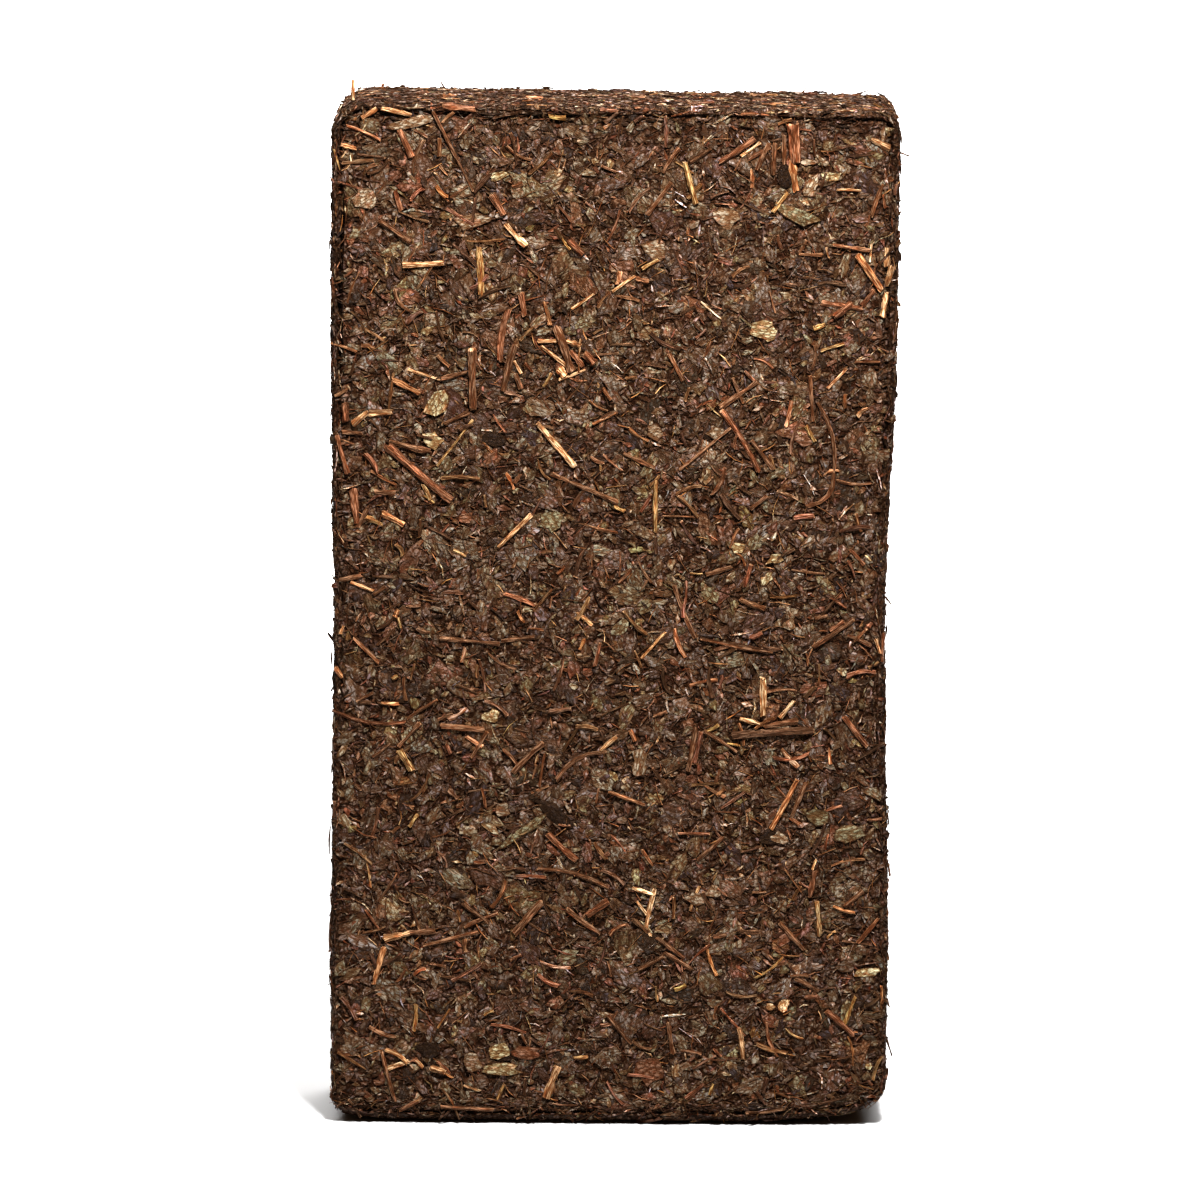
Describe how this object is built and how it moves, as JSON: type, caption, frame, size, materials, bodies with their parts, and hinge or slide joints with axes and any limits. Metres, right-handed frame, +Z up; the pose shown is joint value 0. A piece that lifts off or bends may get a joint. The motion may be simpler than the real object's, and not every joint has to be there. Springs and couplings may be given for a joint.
{
  "type": "fu brick tea",
  "caption": "Flat upright brick of pressed dark tea leaf, with a raised rim round its broad faces, layered narrow sides and short stems pressed into the surface.",
  "frame": {"origin": "middle of the foot, at the centre of the bounding box's bottom face", "axes": "+Z up along the brick's length, +Y through its thickness away from the shown broad face, +X to the right of that face"},
  "size_m": [0.1912, 0.0522, 0.35],
  "materials": {
    "pressed_tea": "matte, dry pressed leaf and stem, dark brown with tan and reddish flecks"
  },
  "bodies": {
    "root": {"tea_brick": "pressed_tea"}
  },
  "joints": []
}
